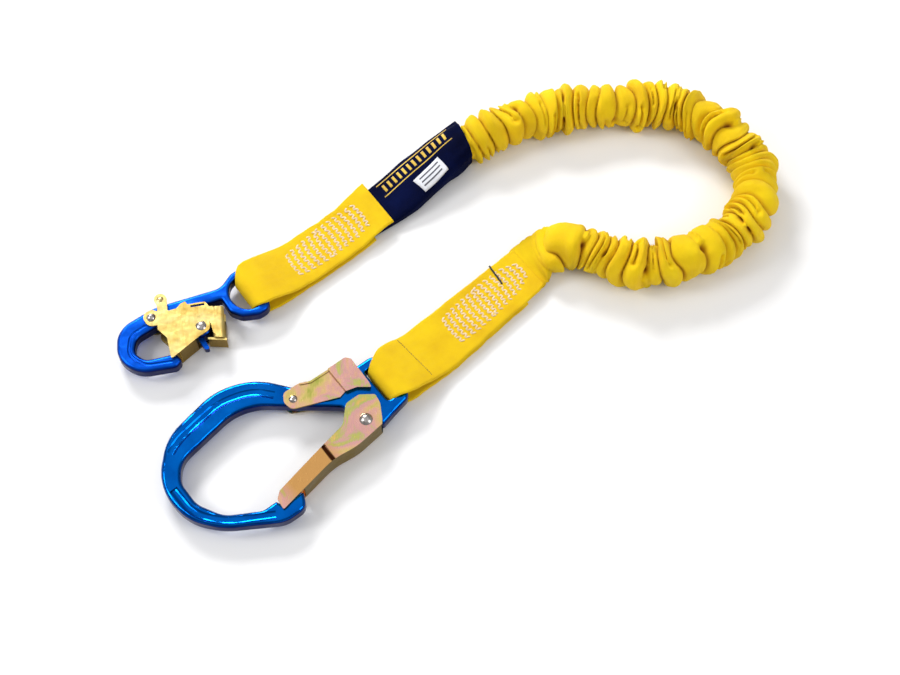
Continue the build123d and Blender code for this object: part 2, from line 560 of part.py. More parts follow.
tube_end_plane = Plane((ROUTE[-1][0] + FRAME_SHIFT_X, ROUTE[-1][1] + FRAME_SHIFT_Y, 0),
                       z_dir=(ROUTE[-1][0] - ROUTE[-2][0], ROUTE[-1][1] - ROUTE[-2][1], 0))


def trim_at(plane, forward):
    """Cut what lies in front of an end plane of the jacket, or else behind it."""
    with BuildSketch(plane) as block:
        Rectangle(TRIM_SIZE, TRIM_SIZE)
    extrude(block.sketch, amount=TRIM_SIZE if forward else -TRIM_SIZE, mode=Mode.SUBTRACT)


with BuildPart() as cavity:
    extrude(strip(SNAP_SIDE, cavity_side), amount=SIDE_REACH, both=True)
    cut_plan(SNAP, COVER_CAVITY_PLAN)
with BuildPart() as absorber_cover:
    extrude(strip(SNAP_SIDE, cover_side), amount=SIDE_REACH, both=True)
    cut_plan(SNAP, COVER_PLAN)
    trim_at(tube_start_plane.offset(-0.2), True)
    add(cavity.part, mode=Mode.SUBTRACT)
keep(absorber_cover.part, "absorber_cover")

LABEL_T = 0.5
label_side = [(182, 17.95), (203, 22.675), (203, 23.175), (182, 18.45)]
LABEL_PLAN = [(180, -6, 1), (204, -4, 1), (204, 8, 1), (180, 6, 1)]
with BuildPart() as cover_label:
    extrude(strip(SNAP_SIDE, label_side), amount=SIDE_REACH, both=True)
    cut_plan(SNAP, LABEL_PLAN)
keep(cover_label.part, "cover_label")

CORE_FLAT_LOW = WEB_T + WEB_GAP
CORE_FLAT_HIGH = 2 * WEB_T + WEB_GAP
snap_tail_side = [
    (60, CORE_FLAT_LOW), (160, CORE_FLAT_LOW), (246, 11.5), (262, 11.5), (262, 14.5), (246, 14.5),
    (160, CORE_FLAT_HIGH), (60, CORE_FLAT_HIGH),
]
SNAP_TAIL_PLAN = [
    (60, -18, 1), (145, -11, 60), (262, 3.5, 1), (266, 24.5, 1), (148, 27, 60), (60, 25, 1),
]
with BuildPart() as snap_core_end:
    extrude(strip(SNAP_SIDE, snap_tail_side), amount=SIDE_REACH, both=True)
    cut_plan(SNAP, SNAP_TAIL_PLAN)
    trim_at(tube_start_plane.offset(-0.4), True)
keep(snap_core_end.part, "snap_core_end")

rebar_tail_side = [(60, CORE_FLAT_LOW), (200, CORE_FLAT_LOW), (200, CORE_FLAT_HIGH),
                   (60, CORE_FLAT_HIGH)]
REBAR_TAIL_PLAN = [(60, -20, 1), (172, -8, 1), (176, 30, 1), (60, 26, 1)]
with BuildPart() as rebar_core_end:
    extrude(strip(REBAR_SIDE, rebar_tail_side), amount=SIDE_REACH, both=True)
    cut_plan(REBAR, REBAR_TAIL_PLAN)
    trim_at(tube_end_plane.offset(0.2), False)
keep(rebar_core_end.part, "rebar_core_end")

# ---------------------------------------------------------------- scrunched jacket and core
def route_radii(points):
    """The arc radius at each corner of a route, from the shorter of the two runs."""
    radii = []
    for before, at, after in zip(points, points[1:], points[2:]):
        run_in = Vector(*at) - Vector(*before)
        run_out = Vector(*after) - Vector(*at)
        half_turn = radians(run_in.get_angle(run_out)) / 2
        radii.append(ARC_SHARE * min(run_in.length, run_out.length) / tan(half_turn))
    return radii


def route_points(heights):
    """The jacket's route at given heights, in the part's frame."""
    return [(x + FRAME_SHIFT_X, y + FRAME_SHIFT_Y, z) for (x, y), z in zip(ROUTE, heights)]


def round_tube(points, diameter):
    """A round bar swept along straight runs joined by tangent arcs."""
    with BuildLine() as path:
        FilletPolyline(*points, radius=route_radii(points))
    section = Plane(path.line @ 0, z_dir=path.line % 0)
    sweep(disc(section, (0, 0), diameter / 2), path=path.line)
    return sum(edge.length for edge in path.line.edges())


tube_points = route_points([TUBE_Z] * len(ROUTE))
with BuildPart() as jacket_bore:
    round_tube(tube_points, TUBE_BORE_D)
with BuildPart() as elastic_jacket:
    jacket_length = round_tube(tube_points, TUBE_D)
    add(jacket_bore.part, mode=Mode.SUBTRACT)
keep(elastic_jacket.part, "elastic_jacket")

core_heights = [TUBE_Z] * len(ROUTE)
core_heights[0] = core_heights[-1] = TUBE_Z - CORE_DROP
core_heights[1] = core_heights[-2] = TUBE_Z - CORE_DROP / 2
with BuildPart() as elastic_core:
    core_length = round_tube(route_points(core_heights), CORE_D)
keep(elastic_core.part, "elastic_core")

ring = (TUBE_D ** 2 - TUBE_BORE_D ** 2) * pi / 4
print("jacket length", round(jacket_length, 1), "core length", round(core_length, 1),
      "volume ratio", round(elastic_jacket.part.volume / (ring * jacket_length), 4))
for part in PARTS:
    print(part.label, part.is_valid, len(part.solids()), round(part.volume))
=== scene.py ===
import json
import math

import bpy
import numpy as np
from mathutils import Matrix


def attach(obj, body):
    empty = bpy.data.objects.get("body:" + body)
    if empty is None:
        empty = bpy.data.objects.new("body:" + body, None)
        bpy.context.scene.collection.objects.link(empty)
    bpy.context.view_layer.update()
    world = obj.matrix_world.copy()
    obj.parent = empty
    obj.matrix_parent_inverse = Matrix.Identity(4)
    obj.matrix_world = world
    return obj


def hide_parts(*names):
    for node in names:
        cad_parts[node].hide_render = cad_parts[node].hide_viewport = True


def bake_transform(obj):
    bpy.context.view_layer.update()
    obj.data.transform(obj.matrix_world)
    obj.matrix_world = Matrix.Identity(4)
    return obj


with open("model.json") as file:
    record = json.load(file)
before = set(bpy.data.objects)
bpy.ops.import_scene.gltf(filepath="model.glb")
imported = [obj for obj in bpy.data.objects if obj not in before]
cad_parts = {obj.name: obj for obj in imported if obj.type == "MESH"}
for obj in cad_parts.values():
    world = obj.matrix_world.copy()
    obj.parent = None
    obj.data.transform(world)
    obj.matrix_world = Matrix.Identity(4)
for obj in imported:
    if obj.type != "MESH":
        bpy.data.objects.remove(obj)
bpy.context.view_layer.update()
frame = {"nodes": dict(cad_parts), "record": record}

MM = 0.001
UP = np.array((0.0, 0.0, 1.0))

# ------------------------------------------------------------------ camera
LENS = 64.1                                 # focal length, mm
CAMERA_PLACE = (0.1069, -0.6944, 1.2803)
CAMERA_TILT = 28                            # degrees up from straight down

camera_data = bpy.data.cameras.new("camera")
camera_data.lens = LENS
camera_data.clip_end = 50
camera = bpy.data.objects.new("camera", camera_data)
camera.location = CAMERA_PLACE
camera.rotation_euler = (math.radians(CAMERA_TILT), 0, 0)
bpy.context.collection.objects.link(camera)
bpy.context.scene.camera = camera

# ------------------------------------------------------------------ the jacket's line
# Control points in metres, from inside the cover to the rebar strap.
ROUTE = [
    (0.1135, 0.1808, 0.0165), (0.1489, 0.2023, 0.0195), (0.1889, 0.2173, 0.0211),
    (0.2309, 0.2273, 0.0211), (0.2729, 0.2273, 0.0211), (0.3109, 0.2313, 0.0211),
    (0.3509, 0.2133, 0.0211), (0.3809, 0.1843, 0.0211), (0.3959, 0.1463, 0.0211),
    (0.3899, 0.1083, 0.0211), (0.3629, 0.0783, 0.0211), (0.3289, 0.0603, 0.0211),
    (0.2949, 0.0493, 0.0211), (0.2569, 0.0543, 0.0211), (0.2239, 0.0723, 0.0205),
    (0.1949, 0.0703, 0.0165), (0.1749, 0.0523, 0.0043),
]
ROUTE_DETAIL = 44           # points of the line for each control point


def route_line(name, points, resolution):
    """The points of a NURBS spline through control points, in mm."""
    data = bpy.data.curves.new(name, "CURVE")
    data.dimensions = "3D"
    data.resolution_u = resolution
    spline = data.splines.new("NURBS")
    spline.points.add(len(points) - 1)
    for point, place in zip(spline.points, points):
        point.co = (*place, 1)
    spline.order_u = 3
    spline.use_endpoint_u = True
    carrier = bpy.data.objects.new(name, data)
    mesh = bpy.data.meshes.new_from_object(carrier)
    line = np.array([v.co for v in mesh.vertices], float) / MM
    bpy.data.meshes.remove(mesh)
    bpy.data.objects.remove(carrier)
    bpy.data.curves.remove(data)
    return line


jacket_line = route_line("jacket_route", ROUTE, ROUTE_DETAIL)
arc = np.concatenate([[0], np.cumsum(np.linalg.norm(np.diff(jacket_line, axis=0), axis=1))])


# ------------------------------------------------------------------ places on the hooks
class HookFrame:
    """Local axes of a hook: x from the hook to its strap, y across, heights from the floor."""

    def __init__(self, joint_name):
        joints = frame["record"]["behaviour"]["joints"]
        joint = next(j for j in joints if j["name"] == joint_name)
        self.origin = np.array(joint["pos_m"], float) / MM
        self.y = np.array(joint["axis"], float)
        self.x = np.cross(self.y, UP)

    def place(self, x, y, z):
        """Local millimetres, as arrays of one shape, to the part's frame."""
        x, y, z = np.broadcast_arrays(np.asarray(x, float), np.asarray(y, float), np.asarray(z, float))
        flat = self.origin * (1, 1, 0) + x[..., None] * self.x + y[..., None] * self.y
        return flat + z[..., None] * UP


SNAP = HookFrame("snap_hook_swing")
REBAR = HookFrame("rebar_hook_swing")


# ------------------------------------------------------------------ mesh helpers
def mesh_piece(name, verts, faces, material, uv, body="webbing"):
    """A smooth mesh object from millimetre points, riding on a body unless that is None."""
    mesh = bpy.data.meshes.new(name)
    mesh.from_pydata((np.asarray(verts) * MM).tolist(), [], [tuple(map(int, f)) for f in faces])
    layer = mesh.uv_layers.new(name="UVMap")
    loops = np.zeros(len(mesh.loops), np.int32)
    mesh.loops.foreach_get("vertex_index", loops)
    layer.data.foreach_set("uv", (np.asarray(uv)[loops] * MM).astype(np.float32).ravel())
    mesh.materials.append(material)
    mesh.update()
    mesh.polygons.foreach_set("use_smooth", [True] * len(mesh.polygons))
    piece = bpy.data.objects.new(name, mesh)
    bpy.context.collection.objects.link(piece)
    if body:
        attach(piece, body)
    return piece


def grid_faces(rows, around, wrap=True, caps=True):
    """Quads of a grid that is closed round its rows, with a face on each end."""
    r = np.arange(rows - 1)[:, None]
    c = np.arange(around if wrap else around - 1)[None, :]
    nxt = (c + 1) % around
    quads = np.stack([r * around + c, r * around + nxt, (r + 1) * around + nxt, (r + 1) * around + c], -1)
    faces = [list(q) for q in quads.reshape(-1, 4)]
    if caps:
        faces.append(list(range(around))[::-1])
        faces.append([(rows - 1) * around + i for i in range(around)])
    return faces


def smoothstep(low, high, value):
    """0 below low, 1 above high, and a smooth rise between them."""
    t = np.clip((value - low) / (high - low), 0, 1)
    return t * t * (3 - 2 * t)


def waves(rng, a, b, length, turns, count=7):
    """Smooth noise of about unit size over a length and an angle."""
    total = np.zeros(np.broadcast(a, b).shape)
    for _ in range(count):
        pitch = length * rng.uniform(0.65, 1.6)
        around = rng.integers(-turns, turns + 1)
        total = total + np.sin(2 * math.pi * a / pitch + around * b + rng.uniform(0, 2 * math.pi))
    return total / math.sqrt(count / 2)


# ------------------------------------------------------------------ materials
class Shader:
    """A node material built up from its principled shader."""

    def __init__(self, name, roughness=0.5, metallic=0.0, **sockets):
        self.material = bpy.data.materials.new(name)
        self.material.use_nodes = True
        self.tree = self.material.node_tree
        self.bsdf = self.tree.nodes["Principled BSDF"]
        self.bsdf.inputs["Roughness"].default_value = roughness
        self.bsdf.inputs["Metallic"].default_value = metallic
        for key, value in sockets.items():
            self.bsdf.inputs[key.replace("_", " ")].default_value = value

    def node(self, kind, inputs=(), **settings):
        made = self.tree.nodes.new(kind)
        for key, value in settings.items():
            setattr(made, key, value)
        for key, value in dict(inputs).items():
            if isinstance(value, bpy.types.NodeSocket):
                self.tree.links.new(value, made.inputs[key])
            else:
                made.inputs[key].default_value = value
        return made

    def math(self, operation, a, b=0.0):
        return self.node("ShaderNodeMath", {0: a, 1: b}, operation=operation).outputs[0]

    def coords(self, kind="Object"):
        return self.node("ShaderNodeTexCoord").outputs[kind]

    def noise(self, scale, detail=3.0, vector=None):
        inputs = {"Vector": vector or self.coords(), "Scale": scale, "Detail": detail}
        return self.node("ShaderNodeTexNoise", inputs).outputs["Fac"]

    def stretched(self, scale):
        return self.node("ShaderNodeMapping", {"Vector": self.coords(), "Scale": scale}).outputs[0]

    def ramp(self, value, stops):
        made = self.node("ShaderNodeValToRGB", {"Fac": value})
        ramp = made.color_ramp
        while len(ramp.elements) < len(stops):
            ramp.elements.new(0.5)
        for element, (place, colour) in zip(ramp.elements, stops):
            element.position = place
            element.color = (*colour, 1)
        return made.outputs["Color"]

    def mix(self, share, a, b):
        made = self.node("ShaderNodeMix", data_type="RGBA")
        for socket, value in (("Factor", share), ("A", a), ("B", b)):
            target = next(i for i in made.inputs if i.name == socket and i.enabled)
            if isinstance(value, bpy.types.NodeSocket):
                self.tree.links.new(value, target)
            else:
                target.default_value = value if socket == "Factor" else (*value, 1)
        return next(o for o in made.outputs if o.enabled)

    def colour(self, value):
        self.tree.links.new(value, self.bsdf.inputs["Base Color"])

    def rough(self, value):
        self.tree.links.new(value, self.bsdf.inputs["Roughness"])

    def bump(self, height, distance, strength=1.0, below=None):
        inputs = {"Height": height, "Distance": distance, "Strength": strength}
        if below is not None:
            inputs["Normal"] = below
        made = self.node("ShaderNodeBump", inputs)
        self.tree.links.new(made.outputs[0], self.bsdf.inputs["Normal"])
        return made.outputs[0]


def weave(shader, thread, band):
    """The height of a herringbone weave over the UV map, which is in metres."""
    uv = shader.node("ShaderNodeSeparateXYZ", {0: shader.coords("UV")})
    zig = shader.math("PINGPONG", uv.outputs[1], band / 2)
    twill = shader.math("SINE", shader.math("MULTIPLY", shader.math("ADD", uv.outputs[0], zig),
                                            2 * math.pi / thread))
    rows = shader.math("SINE", shader.math("MULTIPLY", uv.outputs[1], 2 * math.pi / (thread * 0.8)))
    return shader.math("ADD", shader.math("MULTIPLY", twill, 0.6), shader.math("MULTIPLY", rows, 0.4))


def fabric(name, dark, mid, light, roughness=0.72, thread=0.0011, band=0.0065, depth=0.00022,
           sheen=0.3, specular=0.28, crease=None):
    """A woven material; a crease is a painted shade in the creases: a colour, and the share of a fold's
    height it fades over.
    """
    made = Shader(name, roughness, Sheen_Weight=sheen, Sheen_Roughness=0.5, Specular_IOR_Level=specular)
    height = weave(made, thread, band)
    tone = made.math("ADD", made.math("MULTIPLY", made.noise(38, 4.0), 0.72),
                     made.math("MULTIPLY", height, 0.10))
    tone = made.math("ADD", tone, made.math("MULTIPLY", made.noise(900, 2.0), 0.14))
    cloth = made.ramp(tone, [(0.25, dark), (0.5, mid), (0.78, light)])
    if crease:
        crease_shade_colour, fade = crease
        # Painted shade: the crease colour darkens the cloth low on each fold.
        fold = made.node("ShaderNodeAttribute", attribute_name="fold").outputs["Fac"]
        cloth = made.mix(made.ramp(fold, [(0.0, (0, 0, 0)), (fade, (1, 1, 1))]), crease_shade_colour, cloth)
    made.colour(cloth)
    made.rough(made.math("ADD", made.math("MULTIPLY", made.noise(260, 2.0), 0.18), roughness - 0.09))
    fine = made.bump(height, depth)
    made.bump(made.noise(2400, 2.0), 0.00012, 0.6, fine)
    return made


YELLOW = fabric("yellow_webbing", (0.82, 0.49, 0.0008), (0.93, 0.62, 0.0014), (0.99, 0.70, 0.003),
                sheen=0.04, specular=0.2)
# The jacket's creases get a painted shade, golden brown, fading out by 0.62 of a fold's height.
JACKET = fabric("yellow_jacket", (0.86, 0.53, 0.0008), (0.96, 0.66, 0.0014), (1.0, 0.74, 0.003),
                band=0.02, sheen=0.04, specular=0.2, crease=((0.46, 0.15, 0.0), 0.62))
NAVY = fabric("navy_sleeve", (0.0006, 0.0015, 0.014), (0.001, 0.0035, 0.034), (0.002, 0.008, 0.065),
              roughness=0.62, thread=0.0008, band=0.03, depth=0.00008, sheen=0.0, specular=0.03)
YARN = fabric("core_yarn", (0.55, 0.5, 0.4), (0.8, 0.76, 0.66), (0.9, 0.88, 0.8), band=0.004)
GOLD_PRINT = fabric("gold_print", (0.55, 0.33, 0.03), (0.82, 0.55, 0.06), (0.95, 0.7, 0.12),
                    roughness=0.5, thread=0.0007, band=0.02, depth=0.00006)
LABEL = fabric("white_label", (0.66, 0.67, 0.72), (0.83, 0.84, 0.88), (0.93, 0.93, 0.95),
               roughness=0.6, thread=0.0006, band=0.02, depth=0.00005)
LABEL_INK = fabric("label_ink", (0.05, 0.05, 0.07), (0.12, 0.12, 0.15), (0.2, 0.2, 0.24),
                   roughness=0.6, thread=0.0006, band=0.02, depth=0.00005)


def thread_material(name, dark, light):
    """Sewing thread, uneven in colour and slightly fuzzy."""
    made = Shader(name, 0.55, Sheen_Weight=0.35, Sheen_Roughness=0.4)
    made.colour(made.ramp(made.noise(420, 3.0), [(0.3, dark), (0.7, light)]))
    made.bump(made.noise(3200, 2.0), 0.00015, 0.8)
    return made


WHITE_THREAD = thread_material("white_thread", (0.74, 0.53, 0.28), (0.95, 0.80, 0.60))
BLACK_THREAD = thread_material("black_thread", (0.004, 0.003, 0.003), (0.03, 0.02, 0.02))
BROWN_THREAD = thread_material("brown_thread", (0.16, 0.05, 0.004), (0.34, 0.12, 0.01))


def upright_shade(made, upright=0.9):
    """1 on faces that stand upright in the part, falling to 0 on flat ones: the mask of a painted shade on
    upright faces.
    """
    normal = made.node("ShaderNodeSeparateXYZ", {0: made.coords("Normal")})
    return made.ramp(made.math("ABSOLUTE", normal.outputs[2]), [(0.35, (1, 1, 1)), (upright, (0, 0, 0))])


def enamel():
    """The snap hook's thick blue coat over forged steel."""
    made = Shader("snap_blue_enamel", 0.3, 0.85, Specular_IOR_Level=0.2)
    tone = made.ramp(made.noise(55, 5.0), [(0.2, (0.0003, 0.055, 0.42)), (0.55, (0.0005, 0.085, 0.60)),
                                           (0.85, (0.001, 0.12, 0.72))])
    # Upright faces get a painted shade, dark navy, in place of the dark surroundings they would reflect.
    made.colour(made.mix(upright_shade(made), tone, (0.0002, 0.004, 0.07)))
    made.rough(made.math("ADD", made.math("MULTIPLY", made.noise(420, 4.0), 0.16), 0.26))
    made.bump(made.noise(1500, 3.0), 0.00009, 0.5, made.bump(made.noise(60, 1.5), 0.0018, 0.6))
    return made


def anodised():
    """The rebar hook's clear blue coat over aluminium."""
    made = Shader("rebar_blue_anodised", 0.2, 1.0)
    tone = made.ramp(made.noise(40, 4.0), [(0.25, (0.0004, 0.085, 0.42)), (0.6, (0.0008, 0.135, 0.58)),
                                           (0.85, (0.0015, 0.19, 0.74))])
    # Upright faces get a painted shade, dark navy, in place of the dark surroundings they would reflect.
    made.colour(made.mix(upright_shade(made), tone, (0.0002, 0.006, 0.09)))
    made.rough(made.math("ADD", made.math("MULTIPLY", made.noise(300, 4.0), 0.14), 0.13))
    made.bump(made.noise(900, 3.0), 0.00006, 0.5, made.bump(made.noise(38, 1.5), 0.0042, 0.75))
    return made


def zinc(name, stops, cloud_scale, side, roughness=0.33, bands=()):
    """Passivated sheet steel: cloudy colours on its faces and a painted shade on its upright edges.

    Each band across it is a painted shade or shadow: a hook, a local x, a half width in mm and a colour.
    """
    made = Shader(name, roughness, 1.0)
    cloud = made.node("ShaderNodeTexNoise", {"Vector": made.coords(), "Scale": cloud_scale, "Detail": 3.5,
                                             "Roughness": 0.55, "Distortion": 0.7}).outputs["Fac"]
    grain = made.noise(900, 3.0, made.stretched((1, 0.14, 1)))
    tone = made.math("ADD", cloud, made.math("MULTIPLY", made.math("SUBTRACT", grain, 0.5), 0.16))
    face = made.ramp(tone, stops)
    # Each band paints a shade or a shadow line across the part.
    for hook, place, half, colour in bands:
        along = made.node("ShaderNodeVectorMath", {0: made.coords(), 1: tuple(hook.x)},
                          operation="DOT_PRODUCT")
        middle = (float(hook.origin @ hook.x) + place) * MM
        away = made.math("ABSOLUTE", made.math("SUBTRACT", along.outputs["Value"], middle))
        share = made.ramp(made.math("DIVIDE", away, half * MM), [(0.55, (1, 1, 1)), (1.0, (0, 0, 0))])
        face = made.mix(share, face, colour)
    # Upright edges get the painted shade colour given as side.
    made.colour(made.mix(upright_shade(made, 0.8), face, side))
    made.rough(made.math("ADD", made.math("MULTIPLY", grain, 0.22), roughness - 0.1))
    made.bump(grain, 0.00005, 0.5, made.bump(made.noise(70, 2.0), 0.0011, 0.6))
    return made


def polished(name, dark, light, roughness):
    """Bare bright metal for small parts, with a fine grain."""
    made = Shader(name, roughness, 1.0)
    made.colour(made.ramp(made.noise(500, 4.0), [(0.3, dark), (0.75, light)]))
    made.rough(made.math("ADD", made.math("MULTIPLY", made.noise(700, 3.0), 0.18), roughness - 0.07))
    made.bump(made.noise(800, 3.0), 0.00003, 0.4)
    return made


SNAP_BLUE = enamel()
REBAR_BLUE = anodised()
GOLD = [(0.28, (0.52, 0.34, 0.075)), (0.46, (0.74, 0.52, 0.15)), (0.58, (0.70, 0.56, 0.20)),
        (0.7, (0.80, 0.58, 0.22)), (0.85, (0.82, 0.52, 0.28))]
# The last colour given to each zinc is the painted shade on its upright edges.
GOLD_ZINC = zinc("gold_zinc", GOLD, 48, (0.25, 0.155, 0.022))
RAINBOW = [(0.30, (0.50, 0.50, 0.10)), (0.41, (0.78, 0.60, 0.20)), (0.50, (0.86, 0.50, 0.32)),
           (0.58, (0.80, 0.42, 0.40)), (0.66, (0.56, 0.58, 0.16)), (0.76, (0.86, 0.54, 0.16))]
RAINBOW_ZINC = zinc("rainbow_zinc", RAINBOW, 30, (0.22, 0.145, 0.012), 0.22)
# A painted shade, coppery, over the rebar gate's arm.
GATE_ARM_SHADE = (REBAR, -106, 34, (0.72, 0.38, 0.12))
# A painted shadow: a dark line along the rebar gate's fold.
GATE_FOLD_SHADOW = (REBAR, -83.5, 2.6, (0.045, 0.012, 0.004))
GATE_ZINC = zinc("gate_rainbow_zinc", RAINBOW, 30, (0.22, 0.145, 0.012), 0.22, (GATE_ARM_SHADE, GATE_FOLD_SHADOW))
CHROME = polished("rivet_chrome", (0.34, 0.31, 0.29), (0.62, 0.58, 0.55), 0.24)
PIN = polished("pin_zinc", (0.38, 0.27, 0.10), (0.72, 0.58, 0.30), 0.35)
SPRING = polished("spring_wire", (0.3, 0.3, 0.3), (0.55, 0.55, 0.55), 0.3)

NODE_LOOKS = {
    "snap_hook_body": SNAP_BLUE, "rebar_hook_body": REBAR_BLUE,
    "snap_gate": GOLD_ZINC, "snap_lock_lever": GOLD_ZINC,
    "rebar_gate": GATE_ZINC, "rebar_lock_lever": RAINBOW_ZINC,
    "snap_gate_rivet": CHROME, "snap_lock_rivet": CHROME,
    "rebar_gate_rivet": CHROME, "rebar_lock_rivet": CHROME, "snap_gate_cross_pin": PIN,
    "snap_gate_spring": SPRING, "snap_lock_spring": SPRING,
    "rebar_gate_spring": SPRING, "rebar_lock_spring": SPRING,
}
for node_name, look in NODE_LOOKS.items():
    for material_slot in frame["nodes"][node_name].material_slots:
        material_slot.material = look.material

# ------------------------------------------------------------------ scrunched jacket
# Widths of the folds from the cover to the rebar strap, and their heights as a share.
FOLDS = [
    (19, 1.08), (19, 1.12), (20, 1.1), (19, 1.0), (11, 0.75), (12, 0.95), (15, 1.3), (11, 0.9), (15, 1.2),
    (17, 0.95), (10, 0.7), (17, 1.0), (20, 0.75), (15, 1.2), (12, 0.95), (12, 1.15), (13, 1.0), (12, 0.9),
    (15, 1.1), (16, 0.8), (18, 1.15), (17, 0.9), (20, 1.25), (10, 0.8), (10, 0.95), (11, 0.8), (19, 1.0),
    (21, 1.15), (14, 0.9), (13, 1.05), (14, 0.9), (15, 1.05), (14, 0.9), (20, 1.1), (22, 0.95), (13, 1.1),
    (12, 0.75), (21, 1.25), (18, 1.1), (12, 0.8), (15, 1.1), (12, 0.75), (30, 1.0), (14, 1.1), (13, 0.8),
    (12, 0.7),
]
AROUND = 144                # points round the jacket
CREASE_R = 13.4             # radius at the bottom of a crease
RIDGE_R = 22.0              # radius at the top of a fold of height 1
MOST_R = 26.5               # no fold stands out further than this
MOUTH = (10.5, 14.5)        # it widens over this stretch, at the mouth of the cover
PRESS_END = 42.0            # it is pressed down over this last length
FLAT_END = 12.0             # and flat over this one
FLAT_HALF = (24.6, 1.75)    # half width and half thickness of the flat end
JACKET_LOW = 0.25           # height of its lowest points


def fold_height(u):
    """The round profile of one fold, with a sharp crease at both sides."""
    return np.clip(1 - np.abs(2 * u - 1) ** 2.2, 0, 1) ** 0.55


def along_line(line):
    """Unit vectors ahead, to the side and over, at each point of a line."""
    ahead = np.gradient(line, axis=0)
    ahead /= np.linalg.norm(ahead, axis=1)[:, None]
    side = np.cross(ahead, UP)
    side /= np.linalg.norm(side, axis=1)[:, None]
    return ahead, side, np.cross(side, ahead)


def turned(angle, centre):
    """How far round an angle is from a centre, from 0 to half a turn."""
    return np.abs((angle - centre + math.pi) % (2 * math.pi) - math.pi)


def split_folds(rng, bulge, u, index, angle, widths):
    """Splits that run along a fold over part of the way round and end in a dimple."""
    for chance, longest in ((0.75, 1.25), (0.6, 0.7)):
        centre = rng.uniform(0, 2 * math.pi, len(widths))
        chosen = (rng.random(len(widths)) < chance) & (widths > 11.5) & (widths < 25)
        reach = (rng.uniform(0.35, longest, len(widths)) * chosen)[index]
        place = rng.uniform(0.34, 0.66, len(widths))[index]
        away = turned(angle, centre[index])
        share = smoothstep(0, 0.32, reach - away) * (reach > 0)
        split = np.where(u < place, u / place, (u - place) / (1 - place))
        bulge = bulge * (1 - share) + np.minimum(bulge, fold_height(split) * 0.95 + 0.02) * share
        at_end = np.exp(-((away - reach) / 0.14) ** 2) * np.exp(-((u - place) / 0.13) ** 2)
        bulge = bulge - 0.5 * at_end * (reach > 0)
    return bulge


def join_folds(rng, bulge, beside, edge, angle, joins):
    """Creases that stop part of the way round, in a pocket, where their two folds join."""
    middle = rng.uniform(0, 2 * math.pi, joins)
    span = rng.uniform(0.35, 1.1, joins) * (rng.random(joins) < 0.55)
    span[[0, 1, -3, -2, -1]] = 0
    span = span[edge]
    gone = turned(angle, middle[edge])
    joined = smoothstep(0, 0.4, span - gone) * (span > 0)
    bulge = np.maximum(bulge, 0.86 * joined * np.exp(-(beside / 5.0) ** 2))
    pocket = np.exp(-((gone - span) / 0.2) ** 2) * np.exp(-(beside / 3.0) ** 2) * (span > 0)
    return bulge - 0.38 * pocket


def jacket_points():
    """The jacket's points, their UVs and how high each one is on its fold, from 0 to 1."""
    rng = np.random.default_rng(11)
    s = arc[:, None]
    angle = np.linspace(0, 2 * math.pi, AROUND, endpoint=False)[None, :]
    total = arc[-1]
    widths = np.array([w for w, _ in FOLDS], float)
    heights = np.array([h for _, h in FOLDS], float)
    edges = np.concatenate([[0], np.cumsum(widths)]) * total / widths.sum()
    # The creases lean and wander round the jacket, less so near the cover.
    calm = smoothstep(0, 60, s) * 0.75 + 0.25
    tilt = 3.6 * waves(rng, s, 0 * angle, 150, 0, 4) * calm
    warped = (s + tilt * np.sin(angle - 0.6) + calm * 1.8 * waves(rng, s, angle, 95, 2)
              + calm * 0.55 * waves(rng, s, angle, 44, 3))
    warped = np.clip(warped, 0.01, total - 0.01)
    index = np.clip(np.searchsorted(edges, warped, side="right") - 1, 0, len(widths) - 1)
    u = (warped - edges[index]) / (edges[index + 1] - edges[index])
    edge = index + (u > 0.5)
    bulge = split_folds(rng, fold_height(u), u, index, angle, widths)
    bulge = join_folds(rng, bulge, warped - edges[edge], edge, angle, len(edges))
    size = 1 + 0.03 * waves(rng, s, angle, 60, 1) + 0.022 * waves(rng, s, angle, 30, 2)
    height = heights[index] * (1 + 0.12 * waves(rng, s, angle, 40, 2))
    # Each fold swells and dips on its own round the jacket.
    swell = rng.uniform(0, 2 * math.pi, (3, len(widths)))
    for turns, strength in ((1, 0.07), (2, 0.07), (3, 0.05)):
        height = height * (1 + strength * np.sin(turns * angle + swell[turns - 1][index]))
    crease = CREASE_R + 1.0 * waves(rng, s, angle, 30, 2)
    radius = crease + (RIDGE_R - crease) * bulge * height
    radius = (radius * size + 0.16 * waves(rng, s, angle, 7, 3, 10) * bulge
              + 0.05 * waves(rng, s, angle, 3, 4, 10))
    radius = np.minimum(radius, MOST_R)
    lean = 3.0 * waves(rng, s, angle, 80, 1) * calm
    # Both ends: narrow inside the cover, and pressed flat under the strap.
    inside = smoothstep(*MOUTH, s)
    diagonal = 9 * np.cos(angle) * smoothstep(total - 60, total - 30, s)
    flat = smoothstep(total - PRESS_END, total - FLAT_END, s + diagonal * (s < total - FLAT_END))
    flat_wide, flat_high = FLAT_HALF
    wide = radius * (0.70 + 0.30 * inside) * (1 + 0.06 * flat)
    high = radius * (0.56 + 0.44 * inside) * (1 - flat) + (flat_high + 0.05 * (radius - 18)) * flat
    wide = wide * (1 - flat) + (flat_wide + 0.2 * (wide - 22)) * flat
    ahead, side, over = along_line(jacket_line)
    shift = lean * bulge * (1 - flat) * inside
    points = (jacket_line[:, None, :] + (np.cos(angle) * wide)[..., None] * side[:, None, :]
              + (np.sin(angle) * high)[..., None] * over[:, None, :] + shift[..., None] * ahead[:, None, :])
    points[..., 2] = np.maximum(points[..., 2], JACKET_LOW)
    uv = np.stack(np.broadcast_arrays(s * 1.3, angle * 20.0), -1)
    return points, uv, np.clip(bulge + flat, 0, 1)


